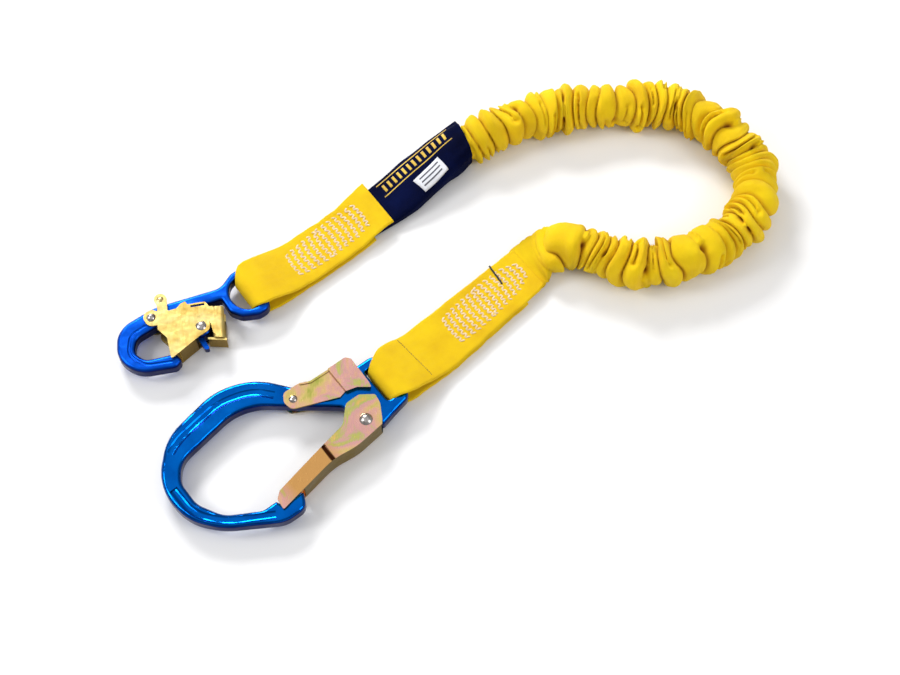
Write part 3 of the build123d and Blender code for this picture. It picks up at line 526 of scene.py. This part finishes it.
points, uv, fold_share = jacket_points()
jacket = mesh_piece("scrunched_jacket", points.reshape(-1, 3), grid_faces(len(points), AROUND),
                    JACKET.material, uv.reshape(-1, 2))
# The fold share drives the jacket material's painted crease shade.
fold_layer = jacket.data.attributes.new("fold", "FLOAT", "POINT")
fold_layer.data.foreach_set("value", fold_share.astype(np.float32).ravel())
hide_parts("elastic_jacket")

# ------------------------------------------------------------------ elastic core
CORE_EVERY = 4              # the core takes one in this many points of the jacket's line
CORE_AROUND = 36            # points round the core


def core_points():
    """The line, points and UVs of a bundle of six twisted yarns inside the jacket."""
    line, along = jacket_line[::CORE_EVERY], arc[::CORE_EVERY, None]
    angle = np.linspace(0, 2 * math.pi, CORE_AROUND, endpoint=False)[None, :]
    radius = 5.2 + 0.8 * np.abs(np.sin(3 * (angle + along / 9.0)))
    _, side, over = along_line(line)
    flat = smoothstep(arc[-1] - 62, arc[-1] - 26, along)
    made = (line[:, None, :] + (np.cos(angle) * radius)[..., None] * side[:, None, :]
            + (np.sin(angle) * radius * (1 - 0.84 * flat))[..., None] * over[:, None, :])
    return line, made, np.stack(np.broadcast_arrays(along, angle * 6.0), -1)


line, points, uv = core_points()
core = mesh_piece("elastic_core_yarns", points.reshape(-1, 3), grid_faces(len(points), CORE_AROUND),
                  YARN.material, uv.reshape(-1, 2))
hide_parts("elastic_core")

# ------------------------------------------------------------------ flat webbing
WEB = 2.9                   # thickness of the webbing
PAD_T = 1.1                 # thickness of a wear pad
TAIL_Z = 4.45               # height of the flat core ends between two layers of strap
BAR_Z = 12.5                # height of the bar in each hook's strap eye
SNAP_BAR_R = 5.5
REBAR_BAR_R = 6.0
PAD_GAP = 0.9               # from a bar to the middle of its pad
STRAP_GAP = 1.8             # from a bar to the inside of its strap
BAND_LOW = 0.15             # height of the lowest points of a band
SOFTEN = 9                  # points over which a corner of a side view is softened
ACROSS = 46                 # points across one face of a band


def smooth_run(corners, step):
    """A dense line through side view corners, softened at each one."""
    corners = np.array(corners, float)
    run = np.concatenate([[0], np.cumsum(np.linalg.norm(np.diff(corners, axis=0), axis=1))])
    at = np.linspace(0, run[-1], int(run[-1] / step) + 1)
    line = np.stack([np.interp(at, run, corners[:, k]) for k in range(2)], 1)
    kernel = np.hanning(SOFTEN)
    kernel /= kernel.sum()
    ends = SOFTEN // 2
    padded = np.pad(line, ((ends, ends), (0, 0)), mode="reflect", reflect_type="odd")
    return np.stack([np.convolve(padded[:, k], kernel, "valid") for k in range(2)], 1)


class Band:
    """One length of webbing, given by its side view line and its two edges in plan."""

    def __init__(self, hook, line, low, high, thickness, seed, wave, effects=()):
        self.hook, self.line, self.thickness, self.effects = hook, line, thickness, effects
        self.run = np.concatenate([[0], np.cumsum(np.linalg.norm(np.diff(line, axis=0), axis=1))])
        ahead = np.gradient(line, axis=0)
        ahead /= np.linalg.norm(ahead, axis=1)[:, None]
        self.normal = np.stack([-ahead[:, 1], ahead[:, 0]], 1)
        rng = np.random.default_rng(seed)
        x = line[:, 0]
        ripple = wave * waves(rng, x, 0.0, 34, 0) + 0.4 * wave * waves(rng, x, 0.0, 13, 0)
        other = wave * waves(rng, x, 0.0, 30, 0) + 0.4 * wave * waves(rng, x, 0.0, 12, 0)
        self.low = low(x) + ripple
        self.high = high(x) + other
        self.rng_seed = seed + 50

    def surface(self, across, offset):
        """Points at shares across the band (0..1) and offsets along its normal."""
        y = self.low[:, None] + (self.high - self.low)[:, None] * across
        rng = np.random.default_rng(self.rng_seed)
        offset = offset + 0 * y + 0.12 * waves(rng, self.run[:, None], across * 3.0, 40, 2)
        x, up = self.line[:, 0][:, None], self.normal[:, 1][:, None]
        for effect in self.effects:
            offset = offset + effect(x, y, up)
        x = x + self.normal[:, 0][:, None] * offset
        z = self.line[:, 1][:, None] + up * offset
        return self.hook.place(x, y, np.maximum(z, BAND_LOW)), y

    def build(self, name, material):
        half = self.thickness / 2
        across = np.linspace(0, 1, ACROSS)
        width = float(np.median(self.high - self.low))
        inset = np.minimum(across, 1 - across) * width
        rim = half * np.sqrt(np.clip(1 - (1 - np.clip(inset / half, 0, 1)) ** 2, 0.02, 1))
        ring_across = np.concatenate([across, across[::-1]])
        ring_offset = np.concatenate([rim, -rim[::-1]])
        points, y = self.surface(ring_across[None, :], ring_offset[None, :])
        uv = np.stack([np.broadcast_to(self.run[:, None], y.shape), y], -1)
        return mesh_piece(name, points.reshape(-1, 3), grid_faces(len(points), len(ring_across)),
                          material, uv.reshape(-1, 2), body=None)


def edge_line(*corners):
    """An edge of a band as a function of local x."""
    xs, ys = zip(*corners)
    return lambda x: np.interp(x, xs, ys)


def loop_line(bar_radius, low_from, top_corners):
    """The side view of a band: along the floor, round the bar and back on top."""
    radius = bar_radius + STRAP_GAP + WEB / 2
    turn = np.radians(np.arange(-92, -269, -6))
    bight = [(radius * math.cos(a), BAR_Z + radius * math.sin(a)) for a in turn]
    floor_run = [(low_from, WEB / 2), (40, WEB / 2), (20, 2.6)]
    return smooth_run(floor_run + bight + top_corners, 1.3)


def drape(middle, reach, puff_x, puff_height):
    """The upper layer puffs up behind the bar, and its edges droop beyond a reach from its middle."""
    def effect(x, y, up):
        puff = np.exp(-((x - puff_x) / 14) ** 2) * puff_height * (up > 0.5)
        droop = np.clip((np.abs(y - middle) - reach) / 10, 0, 1) ** 2 * np.exp(-((x - 34) / 18) ** 2)
        return (puff - droop) * (up > 0.3)
    return effect


class StitchField:
    """Columns of zigzag stitching across a strap, in a barrel-shaped field."""

    HALF_AT = (0, 0.12, 0.5, 0.85, 1)       # shares of its length that its half widths are for
    STEP = 2.3                              # across the strap, from one stitch to the next
    ZIG = 2.5                               # a column swings this far to both sides
    BOW = 2.0                               # a column's ends curve in by this much

    def __init__(self, x0, x1, columns, centre, half):
        self.x0, self.x1 = x0, x1
        self.columns = np.linspace(x0, x1, columns)
        self.centre, self.half = centre, half

    def extent(self, x):
        """The share of the field's length at x, and its middle and half width there."""
        share = (x - self.x0) / (self.x1 - self.x0)
        return share, np.interp(share, (0, 1), self.centre), np.interp(share, self.HALF_AT, self.half)

    def stitches(self):
        """Start and end of every stitch, in local x and y."""
        found = []
        for x in self.columns:
            share, middle, half = self.extent(x)
            y = np.linspace(middle - half, middle + half, int(2 * half / self.STEP))
            bow = self.BOW * ((y - middle) / half) ** 2 * (1 if share < 0.5 else -1)
            zig = x + bow + self.ZIG * (-1) ** np.arange(len(y))
            for i in range(len(y) - 1):
                step_x, step_y = 0.1 * (zig[i + 1] - zig[i]), 0.1 * (y[i + 1] - y[i])
                found.append(((zig[i] + step_x, y[i] + step_y), (zig[i + 1] - step_x, y[i + 1] - step_y)))
        return found

    def relief(self, x, y, up):
        """The webbing is drawn down along the rows of stitching."""
        share, middle, half = self.extent(x)
        inside = smoothstep(-0.05, 0.03, share) * smoothstep(-0.05, 0.03, 1 - share)
        within = 1 - smoothstep(-2, 2.5, np.abs(y - middle) - half)
        pitch = self.columns[1] - self.columns[0]
        rows = 0.5 + 0.5 * np.cos(2 * math.pi * (x - self.x0) / pitch)
        return -inside * within * (0.35 + 0.35 * rows) * (up > 0.5)


def stitch_mesh(name, band, ends, radius, lift, material):
    """Short plump stitches lying on the upper face of a band."""
    upper = band.normal[:, 1] > 0.5
    xs, index = band.line[upper, 0], np.flatnonzero(upper)
    verts, faces, uvs = [], [], []
    rng = np.random.default_rng(5)
    sides = 8
    shares = np.array([0.0, 0.12, 0.35, 0.65, 0.88, 1.0])
    girth = np.array([0.25, 0.75, 1.0, 1.0, 0.75, 0.25])
    sink = np.array([-0.55, 0.0, 0.35, 0.35, 0.0, -0.55])
    order = np.argsort(xs)
    for (xa, ya), (xb, yb) in ends:
        wobble = rng.uniform(-0.25, 0.25, 4)
        x = xa + wobble[0] + (xb + wobble[2] - xa - wobble[0]) * shares
        y = ya + wobble[1] + (yb + wobble[3] - ya - wobble[1]) * shares
        row = np.interp(x, xs[order], index[order]).round().astype(int)
        z = np.interp(x, xs[order], band.line[upper, 1][order])
        offset = np.full(len(x), band.thickness / 2)
        for effect in band.effects:
            offset = offset + effect(x, y, band.normal[row, 1])
        centre = band.hook.place(x, y, z + offset + lift + sink * radius)
        ahead = centre[-1] - centre[0]
        ahead /= np.linalg.norm(ahead)
        side = np.cross(ahead, UP)
        side /= np.linalg.norm(side)
        over = np.cross(side, ahead)
        base = len(verts)
        angle = np.linspace(0, 2 * math.pi, sides, endpoint=False)
        for k, middle in enumerate(centre):
            for a in angle:
                verts.append(middle + girth[k] * radius * (math.cos(a) * side + math.sin(a) * over))
                uvs.append((k, a))
        faces += [[base + v for v in f] for f in grid_faces(len(centre), sides)]
    return mesh_piece(name, np.array(verts), faces, material, np.array(uvs), body=None)


BEND_X = (7.0, 25.0)        # points at these distances from a bar are worked out in bend_with_hook but not used
BEND_Y = 4.0


def bend_with_hook(piece, hook):
    """Bakes a piece's transform into its mesh; the two points it works out by the hook are not used."""
    start = hook.place(BEND_X[0], BEND_Y, BAR_Z) * MM
    end = hook.place(BEND_X[1], BEND_Y, BAR_Z) * MM
    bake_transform(piece)


# ---- strap of the snap hook
STITCH_R = 0.85             # radius of a stitch
WAVE = 0.22                 # unevenness of the edges of both straps

snap_low = edge_line((-12, -14.5), (-8, -16.6), (-3, -19.2), (3, -21.3), (14, -22.6), (60, -20.6),
                     (100, -18.5), (142, -12.8))
snap_high = edge_line((-12, 11.0), (-9, 14.0), (-4, 21.5), (2, 26.0), (8, 28.0), (16, 28.6), (60, 29.0),
                      (100, 31), (125, 34.5), (149, 40.5))
snap_field = StitchField(45, 127, 13, (3.6, 11.2), (13.5, 15.5, 17.5, 16.5, 14.5))
snap_line = loop_line(SNAP_BAR_R, 126, [(0, 21.35), (9, 21.0), (18, 17.6), (32, 11.6), (46, 8.4),
                                        (58, 7.5), (112, 7.5), (124, 10.5), (147.5, 10.6)])
snap_band = Band(SNAP, snap_line, snap_low, snap_high, WEB, 21, WAVE,
                 (drape(3.5, 15, 26, 1.3), snap_field.relief))
snap_strap = snap_band.build("snap_strap", YELLOW.material)
snap_stitches = stitch_mesh("snap_strap_stitching", snap_band, snap_field.stitches(), STITCH_R, 0.0,
                            WHITE_THREAD.material)

# ---- strap of the rebar hook
rebar_low = edge_line((-12, -18.0), (-9, -20.3), (-3, -22.6), (5, -24.8), (14, -26), (60, -24.5),
                      (122, -16.5), (166, -11.6), (174, -8.5))
rebar_high = edge_line((-12, 11.5), (-9, 14.5), (-3, 19.6), (6, 24.6), (14, 26.8), (100, 33),
                       (150, 36.5), (174, 38.2))
rebar_field = StitchField(77, 167, 15, (5.6, 16.0), (15.5, 17.0, 17.5, 15.0, 9.5))
rebar_line = loop_line(REBAR_BAR_R, 152, [(0, 21.85), (9, 21.4), (18, 18.0), (32, 12.0), (46, 8.4),
                                          (58, 7.5), (174, 7.6)])
rebar_band = Band(REBAR, rebar_line, rebar_low, rebar_high, WEB, 33, WAVE,
                  (drape(1, 16, 24, 1.2), rebar_field.relief))
rebar_strap = rebar_band.build("rebar_strap", YELLOW.material)
rebar_stitches = stitch_mesh("rebar_strap_stitching", rebar_band, rebar_field.stitches(), STITCH_R, 0.0,
                             WHITE_THREAD.material)
marker = [((145.9 - 0.25 * i, 37.4 - 2.4 * i), (145.6 - 0.25 * i, 34.0 - 2.4 * i)) for i in range(9)]
marker_stitch = stitch_mesh("rebar_marker_stitch", rebar_band, marker, 0.95, 0.2, BLACK_THREAD.material)
cross = [((31.2 + 0.13 * i, 25.4 - 1.6 * i), (31.3 + 0.13 * i, 24.1 - 1.6 * i)) for i in range(29)]
cross_stitch = stitch_mesh("rebar_cross_stitch", rebar_band, cross, 0.42, 0.05, BROWN_THREAD.material)

for piece, hook, body in (
        (snap_strap, SNAP, "snap_hook"), (snap_stitches, SNAP, "snap_hook"),
        (rebar_strap, REBAR, "rebar_hook"), (rebar_stitches, REBAR, "rebar_hook"),
        (marker_stitch, REBAR, "rebar_hook"), (cross_stitch, REBAR, "rebar_hook")):
    bend_with_hook(piece, hook)
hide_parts("snap_strap_loop")
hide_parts("rebar_strap_loop")


# ---- wear pads and the flat ends of the core
def wear_pad(name, hook, node, bar_radius, low, high):
    """A short layer of webbing round a bar, inside the loop of its strap."""
    radius = bar_radius + PAD_GAP
    turn = np.radians(np.arange(-60, -301, -6))
    ring = [(radius * math.cos(a), BAR_Z + radius * math.sin(a)) for a in turn]
    line = smooth_run([(20, 7.4), (14, 7.0)] + ring + [(12, 13.6), (20, 9.9)], 1.1)
    band = Band(hook, line, edge_line((-12, low), (20, low - 0.3)), edge_line((-12, high), (20, high + 0.3)),
                PAD_T, 44, 0.15)
    pad = band.build(name, YELLOW.material)
    bend_with_hook(pad, hook)
    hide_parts(node)


wear_pad("snap_bar_pad", SNAP, "snap_wear_pad", SNAP_BAR_R, -15.0, 12.4)
wear_pad("rebar_bar_pad", REBAR, "rebar_wear_pad", REBAR_BAR_R, -17.5, 13.5)

snap_tail = Band(SNAP, smooth_run([(62, TAIL_Z), (140, TAIL_Z), (165, 5.4), (246, 12.0)], 2.0),
                 edge_line((62, -15), (120, -10), (145, -7), (246, 0.5)),
                 edge_line((62, 24.5), (148, 26.5), (246, 30)), WEB - 0.1, 61, 0.2)
rebar_tail = Band(REBAR, smooth_run([(62, TAIL_Z), (164, TAIL_Z)], 2.0),
                  edge_line((62, -19.5), (166, -8.5)),
                  edge_line((62, 25.5), (166, 29.5)), WEB - 0.1, 62, 0.2)
for tail, name, node in ((snap_tail, "snap_core_tail", "snap_core_end"),
                         (rebar_tail, "rebar_core_tail", "rebar_core_end")):
    piece = tail.build(name, YARN.material)
    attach(piece, "webbing")
    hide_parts(node)

# ------------------------------------------------------------------ navy cover
# The sleeve's edges and height at each local x.
COVER_X = (126, 144, 160, 190, 220, 238, 250)
COVER_LOW = (-11.0, -11.6, -12.6, -10.6, -6.6, -5.2, -3.4)
COVER_HIGH = (31.5, 32.0, 33.6, 36.4, 38.6, 39.6, 39.8)
COVER_HEIGHT = (8.7, 8.9, 12.0, 20.0, 27.5, 31.0, 33.5)
COVER_ROWS = 84
COVER_AROUND = 112
COVER_LIFT = 0.2            # height of its underside


def cover_surface(x, angle, offset=0.0):
    """A point of the sleeve at a local x and an angle round it, 90 degrees being its top."""
    rng = np.random.default_rng(71)
    low = np.interp(x, COVER_X, COVER_LOW)
    high = np.interp(x, COVER_X, COVER_HIGH)
    top = np.interp(x, COVER_X, COVER_HEIGHT)
    square = np.interp(x, (COVER_X[0], 160, COVER_X[-1]), (0.28, 0.5, 0.86))
    cos, sin = np.cos(angle), np.sin(angle)
    crush = 0.35 * waves(rng, x, angle, 46, 3) * smoothstep(150, 185, x)
    gather = (0.45 * smoothstep(222, 250, x) * np.cos(11 * angle + 0.6)
              + 0.3 * smoothstep(200, 250, x) * np.cos(5 * angle))
    y = (low + high) / 2 + ((high - low) / 2 + offset + crush + gather) * np.sign(cos) * np.abs(cos) ** square
    z = top / 2 + (top / 2 + offset + crush + gather) * np.sign(sin) * np.abs(sin) ** square
    slant = x + 0.22 * (y - 18) * smoothstep(190, 250, x)
    return SNAP.place(slant, y, np.maximum(z + COVER_LIFT, COVER_LIFT))


def cover_mesh():
    """The sleeve, with both ends turned in."""
    first, last = COVER_X[0], COVER_X[-1]
    xs = np.concatenate([[first + 10, first + 4, first + 0.5], np.linspace(first, last, COVER_ROWS),
                         [last + 0.6, last, last - 6, last - 14]])
    inner = np.concatenate([[-1.3, -1.3, -0.9], np.zeros(COVER_ROWS), [-0.5, -1.3, -1.5, -1.5]])
    angle = np.linspace(0, 2 * math.pi, COVER_AROUND, endpoint=False)
    points = cover_surface(xs[:, None], angle[None, :], inner[:, None])
    uv = np.stack(np.broadcast_arrays(xs[:, None], angle[None, :] * 22), -1)
    return mesh_piece("shock_cover", points.reshape(-1, 3), grid_faces(len(xs), len(angle), caps=False),
                      NAVY.material, uv.reshape(-1, 2))


cover = cover_mesh()
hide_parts("absorber_cover")


def angle_at(x, y):
    """The angle round the sleeve of its upper face at a local y."""
    angles = np.linspace(0.02, math.pi - 0.02, 240)
    place = cover_surface(np.full(len(angles), float(x)), angles)
    local_y = (place - SNAP.origin * (1, 1, 0)) @ SNAP.y
    return float(np.interp(y, local_y[::-1], angles[::-1]))


def patch(name, corners, material, lift, steps=(14, 10)):
    """A thin patch on the sleeve between four (x, y) corners, in order round it."""
    a, b, c, d = (np.array(p, float) for p in corners)
    rows, cols = steps
    top, under, uvs = [], [], []
    for i in range(rows + 1):
        for j in range(cols + 1):
            s, t = i / rows, j / cols
            x, y = (a * (1 - s) + b * s) * (1 - t) + (d * (1 - s) + c * s) * t
            slope = angle_at(x, y)
            top.append(cover_surface(x, slope, lift))
            under.append(cover_surface(x, slope, -0.3))
            uvs.append((x, y))
    count = len(top)
    faces = [list(map(int, f)) for f in grid_faces(rows + 1, cols + 1, wrap=False, caps=False)]
    rim = [i * (cols + 1) for i in range(rows + 1)] + [rows * (cols + 1) + j for j in range(1, cols + 1)]
    rim += [i * (cols + 1) + cols for i in range(rows - 1, -1, -1)] + list(range(cols - 1, 0, -1))
    faces += [[rim[k], rim[(k + 1) % len(rim)], rim[(k + 1) % len(rim)] + count, rim[k] + count]
              for k in range(len(rim))]
    return mesh_piece(name, np.array(top + under), faces, material, np.array(uvs + uvs))


def join(name, pieces):
    """Several pieces of one material as one."""
    with bpy.context.temp_override(active_object=pieces[0], selected_editable_objects=pieces):
        bpy.ops.object.join()
    pieces[0].name = name
    return pieces[0]


# ---- plain gold bands and a row of plain bars, in place of printed lettering
PRINT_LIFT = 0.12
PRINT_X = (156, 238)
PRINT_LINES = ((28.0, 33.0), (13.5, 19.5))  # each gold band's y at both ends
BAR_COUNT = 13
BAR_FROM = 160
BAR_PITCH = 5.9
BAR_WIDTH = 2.6

prints = []
for y0, y1 in PRINT_LINES:
    corners = [(PRINT_X[0], y0), (PRINT_X[1], y1), (PRINT_X[1], y1 + 1), (PRINT_X[0], y0 + 1)]
    prints.append(patch(f"print_{len(prints)}", corners, GOLD_PRINT.material, PRINT_LIFT, (24, 2)))
for bar_index in range(BAR_COUNT):
    x = BAR_FROM + bar_index * BAR_PITCH
    y = 15.8 + 0.072 * (x - PRINT_X[0])
    corners = [(x, y + 1.6), (x + BAR_WIDTH, y + 1.8), (x + BAR_WIDTH, y + 9.6), (x, y + 9.4)]
    prints.append(patch(f"print_{len(prints)}", corners, GOLD_PRINT.material, PRINT_LIFT, (2, 6)))
gold_print = join("cover_gold_bands", prints)

# ---- white label with plain rules
LABEL_LIFT = 0.45
RULE_LIFT = 0.55
label = patch("cover_label_patch", [(188, -7.0), (220, -2.6), (217, 13.4), (185, 9.0)], LABEL.material,
              LABEL_LIFT)
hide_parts("cover_label")
rules = []
for rule in range(3):
    y = -2.6 + rule * 4.0
    corners = [(190.5, y), (214.5, y + 3.3), (214.5, y + 4.7), (190.5, y + 1.4)]
    rules.append(patch(f"rule_{rule}", corners, LABEL_INK.material, RULE_LIFT, (8, 2)))
label_rules = join("cover_label_rules", rules)

# ------------------------------------------------------------------ floor and light
FLOOR_HALF = 6.0
FLOOR_Z = -0.0003           # just under the part

floor_corners = [(x * FLOOR_HALF, y * FLOOR_HALF, 0) for x, y in ((-1, -1), (1, -1), (1, 1), (-1, 1))]
floor_data = bpy.data.meshes.new("floor")
floor_data.from_pydata(floor_corners, [], [(0, 1, 2, 3)])
floor = bpy.data.objects.new("floor", floor_data)
floor.location.z = FLOOR_Z
bpy.context.collection.objects.link(floor)
paper = Shader("floor_paper", 0.9, Specular_IOR_Level=0.1)
paper.colour(paper.ramp(paper.noise(3, 2.0), [(0.3, (0.86, 0.86, 0.86)), (0.7, (0.89, 0.89, 0.89))]))
floor_data.materials.append(paper.material)

world = bpy.data.worlds.new("studio")
world.use_nodes = True
bpy.context.scene.world = world
background = world.node_tree.nodes["Background"]
background.inputs["Strength"].default_value = 1.0
# Grey by height: dark near the horizon and bright overhead, as in a studio.
nodes, links = world.node_tree.nodes, world.node_tree.links
direction = nodes.new("ShaderNodeTexCoord")
split = nodes.new("ShaderNodeSeparateXYZ")
sky = nodes.new("ShaderNodeValToRGB")
links.new(direction.outputs["Generated"], split.inputs[0])
links.new(split.outputs[2], sky.inputs["Fac"])
links.new(sky.outputs["Color"], background.inputs["Color"])
for place, level in ((0.10, 0.34), (0.70, 0.36), (0.90, 0.86)):
    element = sky.color_ramp.elements.new(place)
    element.color = (level, level, level * 1.02, 1)
sky.color_ramp.elements[0].color = (0.3, 0.3, 0.3, 1)
sky.color_ramp.elements[-1].color = (0.78, 0.78, 0.8, 1)


def softbox(name, place, aim, size, power):
    """A rectangular lamp at a place, turned towards an aim."""
    data = bpy.data.lights.new(name, "AREA")
    data.shape = "RECTANGLE"
    data.size, data.size_y = size
    data.energy = power
    lamp = bpy.data.objects.new(name, data)
    lamp.location = place
    direction = np.array(aim, float) - np.array(place, float)
    lamp.rotation_euler = (math.atan2(math.hypot(direction[0], direction[1]), -direction[2]), 0,
                           math.atan2(direction[1], direction[0]) - math.pi / 2)
    bpy.context.collection.objects.link(lamp)


softbox("key", (-0.7, 1.7, 1.3), (0.1, 0.05, 0), (0.9, 0.5), 40)
softbox("side", (-1.5, -0.1, 1.4), (0.0, 0, 0), (0.8, 0.8), 16)
softbox("fill", (1.6, -0.7, 1.2), (0.15, 0, 0), (0.9, 0.9), 12)
bpy.context.scene.view_settings.view_transform = "Standard"
